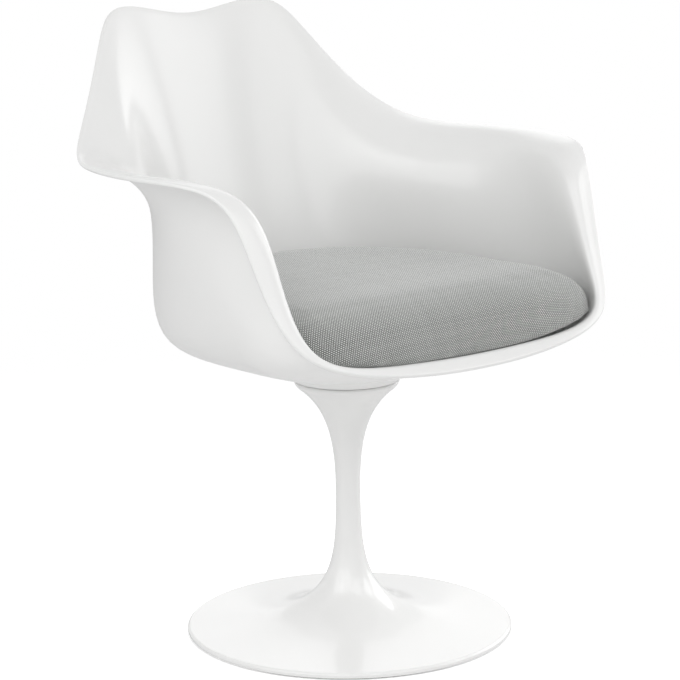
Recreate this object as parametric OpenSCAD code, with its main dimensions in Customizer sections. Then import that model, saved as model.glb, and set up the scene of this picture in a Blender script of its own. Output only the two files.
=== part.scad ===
// Pedestal swivel armchair: a moulded shell with arms and a padded seat cushion turns on a
// cast trumpet pedestal with a round foot. Millimetres, +Z up. The origin is on the floor at the
// swivel axis, the chair faces -Y and the sitter's left is +X.

/* [Overall] */
// Half of the width that the shell's outline is drawn in
half_w = 340; // [306:1:374]
// Depth that the shell's outline is drawn in
shell_d = 590; // [531:1:649]
// Height of the hub's inner face above the floor
hub_z = 355; // [330:1:390]
// Height that the shell's outline rises above the hub
shell_rise = 453; // [408:1:498]
// Depth of the running seam below the hub's inner face
seam_drop = 20; // [17:0.5:24]

/* [Shell] */
// Thickness of the moulded shell
shell_t = 6; // [5:0.5:6]
// Radius of the round opening in the hub
hub_hole_r = 58; // [54:0.5:62]
// Radius at which the flat hub runs into the seat pan
hub_r = 80; // [77:0.5:84]
// Facets between two neighbouring stations of the outline
station_steps = 3; // [2:1:4]

/* [Hub and collar] */
// Clearance of the hub plate inside the opening
hub_clear = 0.6; // [0.2:0.1:1]
// Inset of the hub plate's top flange from the flat hub's edge
hub_flange_inset = 6; // [4:0.5:12]
// Thickness of the hub plate's top flange
hub_flange_t = 2; // [1.5:0.25:2]
// Radius of the collar's lower edge, and of the pedestal's top edge
seam_r = 68.6; // [64:0.2:74]
// Inset of the collar's upper edge from the flat hub's edge
collar_inset = 3; // [2:0.5:6]
// Height of the plain band at the collar's upper edge
collar_band_h = 1.5; // [1:0.25:3]
// Wall of the collar's skirt at the seam
collar_wall = 6.6; // [4:0.2:8]
// Inner radius of the collar's clamped ledge
collar_ledge_r = 50; // [48:0.5:52]
// Thickness of the collar's clamped ledge
collar_ledge_t = 3; // [2:0.5:4]
// Open gap on each side of the seam line
seam_gap = 0.4; // [0.3:0.1:0.6]

/* [Swivel] */
// Clearance of the swivel plate inside the collar's skirt
plate_clear = 4; // [2:0.5:6]
// Thickness of the swivel plate under the ledge
plate_t = 6; // [5:0.5:7]
// Pitch radius of the seat screws
screw_pitch_r = 36; // [34:0.5:38]
// Radius of the seat screws
screw_r = 4; // [3:0.5:4]
// Radius of the seat screws' countersunk heads
screw_head_r = 8; // [7:0.5:8.5]
// Depth of the seat screws' countersunk heads
screw_head_h = 4; // [3.5:0.25:4.5]
// Length of the seat screws
screw_len = 15; // [14:0.5:16]
// Radius of the hexagon sockets, across corners
socket_r = 2.9; // [2.5:0.1:3]
// Depth of the hexagon sockets
socket_depth = 3; // [2:0.5:3.5]
// Radius of the spindle
spindle_r = 10; // [9:0.5:11]
// Clearance of the spindle's bearing journal in the bush's bore
journal_side = 0.9; // [0.5:0.1:1.5]
// Length of the journal below the bearing
journal_drop = 4; // [3:0.5:5]
// Clearance between the journal's shoulder and the upper bush
journal_clear = 1; // [0.5:0.5:2]
// Radius of the spindle's hub
spindle_hub_r = 20; // [19:0.5:21]
// Radius of the spindle's spigot in the swivel plate
spigot_r = 12; // [11:0.5:12]
// Width of the bearing's races
race_w = 8.5; // [8:0.1:9]
// Height of the whole thrust bearing
bearing_h = 11; // [10.6:0.1:12]
// Thickness of one bearing race
race_t = 4; // [3.6:0.1:4.2]
// Radius of a ball
ball_r = 3; // [2.7:0.05:3.2]
// Number of balls
ball_n = 12; // [8:1:14]
// Thickness of the ball cage
cage_t = 2.2; // [1.8:0.1:2.4]
// Inset of the ball cage from both edges of the races
cage_inset = 0.6; // [0.3:0.1:0.7]
// Running clearance of balls, bushes and bearing
run_gap = 0.05; // [0.03:0.01:0.08]
// Wall of both bushes
bush_wall = 3.35; // [2.75:0.1:3.65]
// Length of the upper bush
upper_bush_h = 24; // [20:1:26]
// Length of the lower bush above its flange
lower_bush_h = 25; // [20:1:28]
// Radius of the lower bush's flange
bush_flange_r = 16; // [15:0.5:16.5]
// Clearance of the spindle in the plain bore along the stem
bore_clear = 0.8; // [0.4:0.1:1.2]
// Thickness of the lower bush's flange
bush_flange_t = 2; // [1.5:0.5:2.5]
// Radius of the retaining washer
washer_r = 15; // [14:0.5:16]
// Thickness of the retaining washer
washer_t = 2; // [1.5:0.5:2.5]
// Radius of the retaining bolt
bolt_r = 4; // [3:0.5:4]
// Radius of the bolt's hexagon head, across corners
bolt_head_r = 7.5; // [7:0.25:8]
// Height of the bolt's head
bolt_head_h = 5.3; // [5:0.1:6]
// Length of the bolt's shank above its head
bolt_len = 34; // [30:1:38]
// Depth of the tapped hole in the spindle
tapped_depth = 34; // [32:1:38]
// Radius of the spring washer
spring_washer_r = 7; // [6.5:0.25:7.5]
// Thickness of the spring washer
spring_washer_t = 1.8; // [1.5:0.1:2.2]
// Width of the spring washer's split
split_w = 1; // [0.8:0.1:1.5]

/* [Pedestal] */
// Radius of the foot disc
foot_r = 213; // [200:1:225]
// Height of the foot disc's top edge
foot_edge_h = 8.8; // [8.5:0.1:9.5]
// Bevel of the foot disc's top edge
foot_bevel = 2.4; // [1.5:0.1:3]
// Height of the cast foot above the floor
foot_lift = 2; // [1.5:0.1:2]
// Bevel of the pedestal's top edge
top_bevel = 1.6; // [1:0.1:2.5]
// Radius of the flat roof of the hollow
hollow_top_r = 17; // [16.5:0.1:17]
// Height of the hollow's flat roof above the end of its flare
neck_h = 12.25; // [11:0.25:14]
// Depth of the bearing's seat below the hub's inner face
bearing_drop = 45; // [41:0.5:50]
// Depth of the bearing's close-fitting pocket
bearing_pocket_h = 6; // [5:0.5:6]
// Radius of the cup above the bearing, at its floor
cup_floor_r = 40; // [36:1:42]
// Wall of the cup above the bearing, at its mouth
cup_wall = 8.6; // [6:0.2:12]
// Inset of the glide ring from the foot's edge
glide_inset = 4; // [2:0.5:20]
// Width of the glide ring
glide_w = 6; // [4:0.5:7]
// Height of the glide ring
glide_h = 3.6; // [3:0.1:4]
// Rounding of the glide ring's lower edges
glide_bevel = 0.8; // [0.4:0.1:1]

/* [Cushion] */
// Size of the cushion's outline against the shell's
cushion_fill = 1; // [0.9:0.01:1]
// Thickness of cover and underlining
cloth_t = 1.2; // [1:0.1:1.5]
// Thickness of the stiffening board
board_t = 5; // [4:0.5:6]
// Height of the plain band at the cushion's edge
cushion_band = 4; // [3:0.5:8]
// Height of the crown above the highest part of the band
cushion_crown = 45; // [36:1:54]
// Radius of the hook and loop pads
pad_r = 12; // [10:0.5:12.5]
// Pitch radius of the pads
pad_pitch_r = 50; // [44:0.5:50]
// Thickness of one pad
pad_t = 1.5; // [1:0.1:1.8]

/* [Hidden] */
round_fn = 96;
fine_fn = 48;
hex_fn = 6;
quarter_turns = [0, 90, 180, 270];
screw_turns = [45, 135, 225, 315];
// One overrun for every cut, so that no cut ends on a face
over = 1;

// Rings of the shell's inner face from the hub out, fifteen stations each, from the middle of the
// back to the middle of the front: [share of half_w, share of shell_d, share of shell_rise]
pan_shares = [[0, .23, .005], [.11, .225, .005], [.20, .205, .005], [.28, .175, .01], [.345, .135, .02],
    [.395, .09, .025], [.42, .035, .03], [.425, -.02, .033], [.41, -.075, .031], [.37, -.12, .023],
    [.31, -.15, .018], [.24, -.175, .017], [.165, -.19, .015], [.085, -.20, .015], [0, -.205, .015]];
turn_shares = [[0, .37, .064], [.17, .365, .064], [.32, .345, .064], [.45, .30, .067], [.565, .245, .075],
    [.66, .17, .083], [.715, .075, .095], [.73, -.015, .10], [.72, -.095, .10], [.705, -.175, .098],
    [.66, -.225, .09], [.58, -.26, .075], [.39, -.28, .058], [.20, -.29, .05], [0, -.295, .05]];
wall_shares = [[0, .405, .27], [.18, .40, .27], [.33, .37, .27], [.455, .32, .27], [.555, .26, .27],
    [.645, .18, .27], [.715, .085, .26], [.75, -.01, .25], [.765, -.11, .23], [.775, -.20, .195],
    [.778, -.262, .15], [.695, -.312, .11], [.48, -.335, .087], [.23, -.34, .078], [0, -.345, .076]];
upper_shares = [[0, .47, .535], [.19, .465, .535], [.345, .425, .535], [.45, .35, .53],
    [.53, .26, .53], [.63, .17, .53], [.72, .08, .52], [.765, -.01, .50], [.755, -.125, .465],
    [.72, -.225, .375], [.75, -.296, .24], [.735, -.357, .14], [.51, -.37, .108],
    [.25, -.385, .103], [0, -.39, .10]];
fold_shares = [[0, .545, .85], [.21, .54, .85], [.39, .51, .86], [.475, .455, .755],
    [.60, .37, .655], [.74, .285, .603], [.85, .15, .607], [.87, -.005, .614], [.745, -.165, .613],
    [.68, -.283, .56], [.672, -.335, .313], [.665, -.40, .174], [.51, -.415, .133],
    [.265, -.41, .119], [0, -.41, .114]];
rim_shares = [[0, .575, .942], [.22, .575, .985], [.405, .555, .998], [.505, .505, .88],
    [.66, .43, .707], [.82, .34, .606], [.94, .18, .606], [.99, -.005, .608], [.905, -.192, .609],
    [.832, -.262, .552], [.79, -.322, .31], [.73, -.394, .165], [.555, -.425, .115],
    [.28, -.435, .087], [0, -.435, .078]];
// Directions of the stations on the round hub, in degrees from the back
station_angles = [0, 12, 25, 38, 51, 64, 77, 90, 103, 116, 129, 142, 155, 168, 180];
// Facets from each ring to the next, closer where the shell folds over
ring_steps = [2, 3, 2, 2, 3, 3];

// Outline of the pedestal from the foot's edge to the seam: [share of foot_r, share of seam_z]
stem_shares = [[.70, .038], [.48, .058], [.28, .105], [.165, .18], [.105, .27], [.08, .38],
    [.0745, .50], [.0745, .62], [.086, .72], [.12, .82], [.175, .89], [.245, .945], [.31, .975]];
// Outline of the hollow under the foot, from its edge to its roof, in the same shares
hollow_shares = [[.70, .022], [.48, .038], [.28, .078], [.17, .135], [.11, .20], [.088, .25]];
stem_steps = 4;

// Radii and heights that follow from the sizes above, from the foot up
glide_in_r = foot_r - glide_inset - glide_w;
seam_z = hub_z - seam_drop;
hollow_top_z = hollow_shares[len(hollow_shares) - 1][1] * seam_z + neck_h;
bearing_seat_z = hub_z - bearing_drop;
stem_bore_r = spindle_r + bore_clear;
bush_r = spindle_r + run_gap + bush_wall;
journal_r = bush_r - journal_side;
race_r = journal_r + race_w;
ball_pitch_r = (journal_r + race_r) / 2;
cup_mouth_r = seam_r - cup_wall;
collar_skirt_r = seam_r - collar_wall;
plate_r = collar_skirt_r - plate_clear;
collar_r = hub_r - collar_inset;
hub_plate_r = hub_hole_r - hub_clear;
hub_flange_r = hub_r - hub_flange_inset;
washer_top_z = hollow_top_z - bush_flange_t - run_gap;
spring_washer_top_z = washer_top_z - washer_t;
bolt_head_top_z = spring_washer_top_z - spring_washer_t;
journal_z = bearing_seat_z - journal_drop;
upper_bush_z = journal_z - journal_clear - upper_bush_h;
ball_z = bearing_seat_z + bearing_h / 2;
bearing_top_z = bearing_seat_z + bearing_h;
shell_under_z = hub_z - shell_t;
ledge_z = shell_under_z - collar_ledge_t;
plate_z = ledge_z - plate_t;
hub_top_z = hub_z + hub_flange_t;
cup_floor_z = bearing_seat_z + bearing_pocket_h;

// Heights and shares of the cushion
cushion_z = hub_top_z + 2 * pad_t;
cushion_rise_share = 0.155;
cushion_rise = cushion_rise_share * shell_rise;
crown_z = cushion_z + cushion_rise + cushion_band + cushion_crown;
flat_share = 0.3;
under_power = 1.5;
dome_power = 10;
hem_share = 0.6;
board_share = 0.72;
board_rings = [0.15, flat_share, 0.5, hem_share, board_share];
under_rings = [0.15, flat_share, 0.5, hem_share];
skirt_rings = [board_share, 0.83, 0.93, 1];
dome_rings = [1, 0.99, 0.965, 0.91, 0.8, 0.6, 0.3];
// Outline of the cushion's edge, nine stations as on the shell: [share of half_w, share of
// shell_d, share of cushion_rise]
cushion_shares = [[0, .365, 1], [.27, .355, 1], [.50, .265, 1], [.655, .12, 1], [.70, -.05, 1],
    [.715, -.215, 1], [.755, -.373, 1], [.37, -.395, .65], [0, -.385, .62]];

// Cubic B-spline weights and slopes at t within a span
function weights(t) = [pow(1 - t, 3), 3 * pow(t, 3) - 6 * pow(t, 2) + 4,
    -3 * pow(t, 3) + 3 * pow(t, 2) + 3 * t + 1, pow(t, 3)] / 6;
function slopes(t) = [-pow(1 - t, 2), 3 * pow(t, 2) - 4 * t, -3 * pow(t, 2) + 2 * t + 1, pow(t, 2)] / 2;
function blend(w, p) = w[0] * p[0] + w[1] * p[1] + w[2] * p[2] + w[3] * p[3];
// Points with one more at each end, so that the curve starts and stops on the given ends
function with_ends(p) = let (n = len(p) - 1)
    concat([2 * p[0] - p[1]], p, [2 * p[n] - p[n - 1]]);
// Smooth open curve through the frame of the given points
function curve(p, steps) = let (e = with_ends(p), n = len(p) - 1)
    concat([for (i = [0:n - 1], k = [0:steps - 1])
        blend(weights(k / steps), [for (q = [0:3]) e[i + q]])], [p[n]]);

// One ring of stations in real size, mirrored into a closed loop of twice as many
function sized(shares) = [for (s = shares)
    [s[0] * half_w, s[1] * shell_d, hub_z + s[2] * shell_rise]];
function mirrored(p) = let (n = len(p) - 1)
    concat(p, [for (i = [n - 1:-1:1]) [-p[i][0], p[i][1], p[i][2]]]);
function hub_ring(r, z) = [for (a = station_angles) [r * sin(a), r * cos(a), z]];
function loop_blend(p, w, i) = let (n = len(p)) blend(w, [for (q = [-1:2]) p[(i + q + n) % n]]);
function loop_points(p) = [for (i = [0:len(p) - 1], k = [0:station_steps - 1])
    loop_blend(p, weights(k / station_steps), i)];
function loop_slopes(p) = [for (i = [0:len(p) - 1], k = [0:station_steps - 1])
    loop_blend(p, slopes(k / station_steps), i)];

// Rows of the shell from the hub to the rim, on the inner face and offset to the outer face
function shell_rows() = let (
    rings = with_ends([for (r = [hub_ring(hub_r, hub_z), sized(pan_shares), sized(turn_shares),
        sized(wall_shares), sized(upper_shares), sized(fold_shares), sized(rim_shares)])
        mirrored(r)]),
    points = [for (r = rings) loop_points(r)],
    along = [for (r = rings) loop_slopes(r)],
    places = concat([for (j = [0:len(ring_steps) - 1], k = [0:ring_steps[j] - 1])
        [j, k / ring_steps[j]]], [[len(ring_steps) - 1, 1]]))
    [for (place = places) let (j = place[0], w = weights(place[1]), s = slopes(place[1]))
        [for (c = [0:len(points[0]) - 1]) let (
            p = blend(w, [for (q = [0:3]) points[j + q][c]]),
            u = blend(w, [for (q = [0:3]) along[j + q][c]]),
            v = blend(s, [for (q = [0:3]) points[j + q][c]]),
            n = cross(v, u))
            [p, p + shell_t * n / norm(n)]]];

// Closed solid from rings of equal length that follow one another around a tube-like section
module ring_solid(rings) {
    rows = len(rings);
    columns = len(rings[0]);
    points = [for (ring = rings, p = ring) p];
    faces = [for (r = [0:rows - 1], c = [0:columns - 1]) let (
        a = r * columns + c,
        b = r * columns + (c + 1) % columns,
        d = (r + 1) % rows * columns + c,
        e = (r + 1) % rows * columns + (c + 1) % columns)
        each [[a, e, b], [a, d, e]]];
    polyhedron(points, faces, convexity = 10);
}

// Closed solid from rings stacked between two end points on the axis. Each face is split along
// its shorter diagonal, so that layers which share rings touch without a gap
module capped_solid(first, rings, last) {
    columns = len(rings[0]);
    count = len(rings) * columns;
    points = concat([first], [for (ring = rings, p = ring) p], [last]);
    sides = [for (r = [0:len(rings) - 2], c = [0:columns - 1]) let (
        a = 1 + r * columns + c,
        b = 1 + r * columns + (c + 1) % columns,
        d = a + columns,
        e = b + columns)
        each norm(points[a] - points[e]) < norm(points[b] - points[d])
            ? [[a, b, e], [a, e, d]] : [[a, b, d], [b, e, d]]];
    start = [for (c = [0:columns - 1]) [0, 1 + (c + 1) % columns, 1 + c]];
    end = [for (c = [0:columns - 1]) [count + 1, count + 1 - columns + c,
        count + 1 - columns + (c + 1) % columns]];
    polyhedron(points, concat(start, sides, end), convexity = 10);
}

// Cushion surfaces, at a depth under its skin. The third value of an outline's point is the
// height of the edge there above the flat underside
cushion_outline = loop_points(mirrored([for (s = cushion_shares)
    [s[0] * half_w * cushion_fill, s[1] * shell_d * cushion_fill, s[2] * cushion_rise]]));
function skin_point(p, s, depth, z) = let (in = s * (1 - depth / norm([p[0], p[1]])))
    [in * p[0], in * p[1], z];
function under_lift(s) = pow(max(0, (s - flat_share) / (1 - flat_share)), under_power);
function dome_lift(s) = pow(1 - pow(s, dome_power), 0.5);
function under_ring(s, depth) = [for (p = cushion_outline)
    skin_point(p, s, depth, cushion_z + p[2] * under_lift(s) + depth)];
function dome_ring(s, depth) = [for (p = cushion_outline)
    let (edge_z = cushion_z + p[2] + cushion_band)
    skin_point(p, s, depth, edge_z + (crown_z - edge_z) * dome_lift(s) - depth)];
function reversed(p) = [for (i = [len(p) - 1:-1:0]) p[i]];

// Tube with its foot at z
module tube(outer, inner, z, h) {
    translate([0, 0, z])
        difference() {
            cylinder(r = outer, h = h, $fn = round_fn);
            translate([0, 0, -over]) cylinder(r = inner, h = h + 2 * over, $fn = round_fn);
        }
}

// Plain round bar or bore with its foot at z
module bar(r, z, h) {
    translate([0, 0, z]) cylinder(r = r, h = h, $fn = round_fn);
}

// Copies at the pitch radius, turned by each angle
module around(angles, r) {
    for (a = angles) rotate([0, 0, a]) translate([r, 0, 0]) children();
}

module pedestal_base() {
    mouth_z = seam_z - seam_gap;
    stem = curve(concat([[foot_r - foot_bevel, foot_edge_h]],
        [for (s = stem_shares) [s[0] * foot_r, s[1] * seam_z]],
        [[seam_r, mouth_z - top_bevel]]), stem_steps);
    hollow = curve(concat([[glide_in_r - glide_w / 2, foot_lift]],
        [for (s = hollow_shares) [s[0] * foot_r, s[1] * seam_z]],
        [[hollow_top_r, hollow_top_z - over]]), stem_steps);
    outline = concat([[foot_r, foot_lift], [foot_r, foot_edge_h - foot_bevel]], stem,
        [[seam_r - top_bevel, mouth_z], [cup_mouth_r, mouth_z], [cup_floor_r, cup_floor_z],
         [race_r + run_gap, cup_floor_z], [race_r + run_gap, bearing_seat_z],
         [bush_r, bearing_seat_z], [bush_r, upper_bush_z], [stem_bore_r, upper_bush_z],
         [stem_bore_r, hollow_top_z + lower_bush_h], [bush_r, hollow_top_z + lower_bush_h],
         [bush_r, hollow_top_z], [hollow_top_r, hollow_top_z]], reversed(hollow));
    color("white")
        difference() {
            rotate_extrude($fn = round_fn) polygon(outline);
            tube(glide_in_r + glide_w, glide_in_r, -over, glide_h + over);
        }
}

module glide_ring() {
    color("gainsboro")
        rotate_extrude($fn = round_fn)
            polygon([[glide_in_r, glide_h], [glide_in_r, glide_bevel],
                [glide_in_r + glide_bevel, 0], [glide_in_r + glide_w - glide_bevel, 0],
                [glide_in_r + glide_w, glide_bevel], [glide_in_r + glide_w, glide_h]]);
}

module upper_bush() {
    color("ivory") tube(bush_r, spindle_r + run_gap, upper_bush_z, upper_bush_h);
}

module lower_bush() {
    color("ivory")
        difference() {
            union() {
                bar(bush_r, hollow_top_z, lower_bush_h);
                bar(bush_flange_r, hollow_top_z - bush_flange_t, bush_flange_t);
            }
            bar(spindle_r + run_gap, hollow_top_z - bush_flange_t - over,
                lower_bush_h + bush_flange_t + 2 * over);
        }
}

// Groove that the balls run in
module ball_groove() {
    rotate_extrude($fn = round_fn)
        translate([ball_pitch_r, ball_z]) circle(r = ball_r + run_gap, $fn = fine_fn);
}

module lower_race() {
    color("silver")
        difference() {
            tube(race_r, journal_r + 2 * run_gap, bearing_seat_z, race_t);
            ball_groove();
        }
}

module upper_race() {
    color("silver")
        difference() {
            tube(race_r - 2 * run_gap, journal_r, bearing_top_z - race_t, race_t);
            ball_groove();
        }
}

module ball_cage() {
    color("goldenrod")
        difference() {
            tube(race_r - cage_inset, journal_r + cage_inset, ball_z - cage_t / 2, cage_t);
            around([for (i = [0:ball_n - 1]) i * 360 / ball_n], ball_pitch_r)
                bar(ball_r + run_gap, ball_z - cage_t / 2 - over, cage_t + 2 * over);
        }
}

module bearing_balls() {
    color("lightgray")
        around([for (i = [0:ball_n - 1]) i * 360 / ball_n], ball_pitch_r)
            translate([0, 0, ball_z]) sphere(r = ball_r, $fn = fine_fn);
}

module spindle() {
    color("silver")
        difference() {
            union() {
                bar(spindle_r, washer_top_z, journal_z - washer_top_z);
                bar(journal_r, journal_z, bearing_top_z - journal_z);
                bar(spindle_hub_r, bearing_top_z, plate_z - bearing_top_z);
                bar(spigot_r, plate_z, plate_t);
            }
            bar(bolt_r, washer_top_z - over, tapped_depth + over);
        }
}

module swivel_plate() {
    color("dimgray")
        difference() {
            union() {
                bar(plate_r, plate_z, plate_t);
                bar(collar_ledge_r - run_gap, ledge_z, collar_ledge_t);
            }
            bar(spigot_r, plate_z - over, plate_t + over);
            around(screw_turns, screw_pitch_r)
                bar(screw_r, plate_z - over, plate_t + collar_ledge_t + 2 * over);
        }
}

module retaining_washer() {
    color("silver") tube(washer_r, bolt_r + run_gap, spring_washer_top_z, washer_t);
}

module spring_washer() {
    color("darkgray")
        difference() {
            tube(spring_washer_r, bolt_r + run_gap, bolt_head_top_z, spring_washer_t);
            translate([0, -split_w / 2, bolt_head_top_z - over])
                cube([spring_washer_r + over, split_w, spring_washer_t + 2 * over]);
        }
}

module retaining_bolt() {
    color("darkgray") {
        bar(bolt_r, bolt_head_top_z, bolt_len);
        translate([0, 0, bolt_head_top_z - bolt_head_h])
            cylinder(r = bolt_head_r, h = bolt_head_h, $fn = hex_fn);
    }
}

module swivel_collar() {
    foot_z = seam_z + seam_gap;
    color("white")
        rotate_extrude($fn = round_fn)
            polygon([[seam_r, foot_z], [collar_r, shell_under_z - collar_band_h],
                [collar_r, shell_under_z], [collar_ledge_r, shell_under_z],
                [collar_ledge_r, ledge_z], [collar_skirt_r, ledge_z], [collar_skirt_r, foot_z]]);
}

module seat_shell() {
    rows = shell_rows();
    inner = [for (row = rows) [for (p = row) p[0]]];
    outer = [for (row = rows) [for (p = row) p[1]]];
    edge = loop_points(mirrored(hub_ring(hub_hole_r, 0)));
    color("white")
        ring_solid(concat([[for (p = edge) p + [0, 0, hub_z]]], inner, reversed(outer),
            [[for (p = edge) p + [0, 0, shell_under_z]]]));
}

module hub_plate() {
    color("dimgray")
        difference() {
            union() {
                bar(hub_plate_r, shell_under_z, shell_t);
                bar(hub_flange_r, hub_z, hub_flange_t);
            }
            around(screw_turns, screw_pitch_r) {
                bar(screw_r, shell_under_z - over, shell_t + hub_flange_t + 2 * over);
                screw_cone();
            }
        }
}

// Countersunk head of a seat screw, flush with the hub plate
module screw_cone() {
    translate([0, 0, hub_top_z - screw_head_h])
        cylinder(r1 = screw_r, r2 = screw_head_r, h = screw_head_h, $fn = round_fn);
}

module seat_screws() {
    color("darkgray")
        around(screw_turns, screw_pitch_r)
            difference() {
                union() {
                    bar(screw_r, hub_top_z - screw_len, screw_len - screw_head_h);
                    screw_cone();
                }
                translate([0, 0, hub_top_z - socket_depth])
                    cylinder(r = socket_r, h = socket_depth + over, $fn = hex_fn);
            }
}

module hook_pads() {
    color("black") around(quarter_turns, pad_pitch_r) bar(pad_r, hub_top_z, pad_t);
}

module loop_pads() {
    color("dimgray") around(quarter_turns, pad_pitch_r) bar(pad_r, hub_top_z + pad_t, pad_t);
}

module cushion_underlining() {
    color("dimgray")
        capped_solid([0, 0, cushion_z], concat([for (s = under_rings) under_ring(s, 0)],
            [for (s = reversed(under_rings)) under_ring(s, cloth_t)]),
            [0, 0, cushion_z + cloth_t]);
}

module cushion_board() {
    color("burlywood")
        capped_solid([0, 0, cushion_z + cloth_t],
            concat([for (s = board_rings) under_ring(s, cloth_t)],
            [for (s = reversed(board_rings)) under_ring(s, cloth_t + board_t)]),
            [0, 0, cushion_z + cloth_t + board_t]);
}

module cushion_foam() {
    color("khaki")
        capped_solid([0, 0, cushion_z + cloth_t + board_t],
            concat([for (s = board_rings) under_ring(s, cloth_t + board_t)],
            [for (s = skirt_rings) under_ring(s, cloth_t)],
            [for (s = dome_rings) dome_ring(s, cloth_t)]),
            [0, 0, crown_z - cloth_t]);
}

module cushion_cover() {
    color("lightgray")
        capped_solid([0, 0, crown_z - cloth_t],
            concat([for (s = reversed(dome_rings)) dome_ring(s, cloth_t)],
            [for (s = reversed(skirt_rings)) under_ring(s, cloth_t)],
            [under_ring(hem_share, cloth_t), under_ring(hem_share, 0)],
            [for (s = skirt_rings) under_ring(s, 0)], [for (s = dome_rings) dome_ring(s, 0)]),
            [0, 0, crown_z]);
}

pedestal_base();
glide_ring();
upper_bush();
lower_bush();
lower_race();
ball_cage();
bearing_balls();
upper_race();
spindle();
swivel_plate();
retaining_washer();
spring_washer();
retaining_bolt();
swivel_collar();
seat_shell();
hub_plate();
seat_screws();
hook_pads();
loop_pads();
cushion_underlining();
cushion_board();
cushion_foam();
cushion_cover();
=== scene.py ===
"""Pedestal swivel armchair: the finished surfaces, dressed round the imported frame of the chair."""

import math

import bmesh
import bpy
import numpy as np
from bpy.props import FloatProperty, FloatVectorProperty, IntProperty, PointerProperty
from mathutils import Matrix, Vector


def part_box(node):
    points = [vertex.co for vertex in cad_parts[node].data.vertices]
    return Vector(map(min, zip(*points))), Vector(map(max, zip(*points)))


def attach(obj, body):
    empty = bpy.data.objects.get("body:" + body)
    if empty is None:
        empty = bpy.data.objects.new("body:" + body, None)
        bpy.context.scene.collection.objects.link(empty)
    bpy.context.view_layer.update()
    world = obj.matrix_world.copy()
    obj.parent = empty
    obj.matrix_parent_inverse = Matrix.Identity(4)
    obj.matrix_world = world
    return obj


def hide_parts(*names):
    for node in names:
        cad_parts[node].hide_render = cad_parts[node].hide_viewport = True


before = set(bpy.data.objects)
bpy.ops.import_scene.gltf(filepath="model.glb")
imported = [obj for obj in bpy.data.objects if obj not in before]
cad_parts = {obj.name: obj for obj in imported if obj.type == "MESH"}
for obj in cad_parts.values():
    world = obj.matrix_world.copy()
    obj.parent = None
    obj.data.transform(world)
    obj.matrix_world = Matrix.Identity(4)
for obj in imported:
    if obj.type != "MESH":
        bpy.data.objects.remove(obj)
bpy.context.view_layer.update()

bl_info = {
    "name": "Pedestal swivel armchair",
    "version": (1, 0, 0),
    "blender": (4, 5, 0),
    "location": "3D View > Sidebar > Armchair",
    "description": "Moulded shell, padded cushion and trumpet pedestal of a swivel armchair",
    "category": "Add Mesh",
}

MM = 0.001

# Rings of the shell's inner face from the hub out, fifteen stations each, from the middle of the
# back to the middle of the front: (share of half the width, of the depth, of the rise)
PAN_SHARES = (
    (0, .23, .005), (.11, .225, .005), (.20, .205, .005), (.28, .175, .01), (.345, .135, .02),
    (.395, .09, .025), (.42, .035, .03), (.425, -.02, .033), (.41, -.075, .031), (.37, -.12, .023),
    (.31, -.15, .018), (.24, -.175, .017), (.165, -.19, .015), (.085, -.20, .015), (0, -.205, .015))
TURN_SHARES = (
    (0, .37, .064), (.17, .365, .064), (.32, .345, .064), (.45, .30, .067), (.565, .245, .075),
    (.66, .17, .083), (.715, .075, .095), (.73, -.015, .10), (.72, -.095, .10), (.705, -.175, .098),
    (.66, -.225, .09), (.58, -.26, .075), (.39, -.28, .058), (.20, -.29, .05), (0, -.295, .05))
WALL_SHARES = (
    (0, .405, .27), (.18, .40, .27), (.33, .37, .27), (.455, .32, .27), (.555, .26, .27),
    (.645, .18, .27), (.715, .085, .26), (.75, -.01, .25), (.765, -.11, .23), (.775, -.20, .195),
    (.778, -.262, .15), (.695, -.312, .11), (.48, -.335, .087), (.23, -.34, .078), (0, -.345, .076))
UPPER_SHARES = (
    (0, .47, .535), (.19, .465, .535), (.345, .425, .535), (.45, .35, .53), (.53, .26, .53),
    (.63, .17, .53), (.72, .08, .52), (.765, -.01, .50), (.755, -.125, .465), (.72, -.225, .375),
    (.75, -.296, .24), (.735, -.357, .14), (.51, -.37, .108), (.25, -.385, .103), (0, -.39, .10))
FOLD_SHARES = (
    (0, .545, .85), (.21, .54, .85), (.39, .51, .86), (.475, .455, .755), (.60, .37, .655),
    (.74, .285, .603), (.85, .15, .607), (.87, -.005, .614), (.745, -.165, .613), (.68, -.283, .56),
    (.672, -.335, .313), (.665, -.40, .174), (.51, -.415, .133), (.265, -.41, .119), (0, -.41, .114))
RIM_SHARES = (
    (0, .575, .942), (.22, .575, .985), (.405, .555, .998), (.505, .505, .88), (.66, .43, .707),
    (.82, .34, .606), (.94, .18, .606), (.99, -.005, .608), (.905, -.192, .609), (.832, -.262, .552),
    (.79, -.322, .31), (.73, -.394, .165), (.555, -.425, .115), (.28, -.435, .087),
    (0, -.435, .078))
# Directions of the stations on the round hub, in degrees from the back
STATION_ANGLES = (0, 12, 25, 38, 51, 64, 77, 90, 103, 116, 129, 142, 155, 168, 180)

# Outline of the pedestal from the foot's edge to the seam, and of the hollow under the foot from
# its edge to its roof: (share of the foot's radius, share of the seam's height)
STEM_SHARES = (
    (.70, .038), (.48, .058), (.28, .105), (.165, .18), (.105, .27), (.08, .38), (.0745, .50),
    (.0745, .62), (.086, .72), (.12, .82), (.175, .89), (.245, .945), (.31, .975))
HOLLOW_SHARES = ((.70, .022), (.48, .038), (.28, .078), (.17, .135), (.11, .20), (.088, .25))

# Outline of the cushion's edge, nine stations as on the shell: (share of half the width, of the
# depth, of the edge's greatest height above the flat underside)
CUSHION_SHARES = (
    (0, .365, 1), (.27, .355, 1), (.50, .265, 1), (.655, .12, 1), (.70, -.05, 1), (.715, -.215, 1),
    (.755, -.373, 1), (.37, -.395, .65), (0, -.385, .62))

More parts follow.
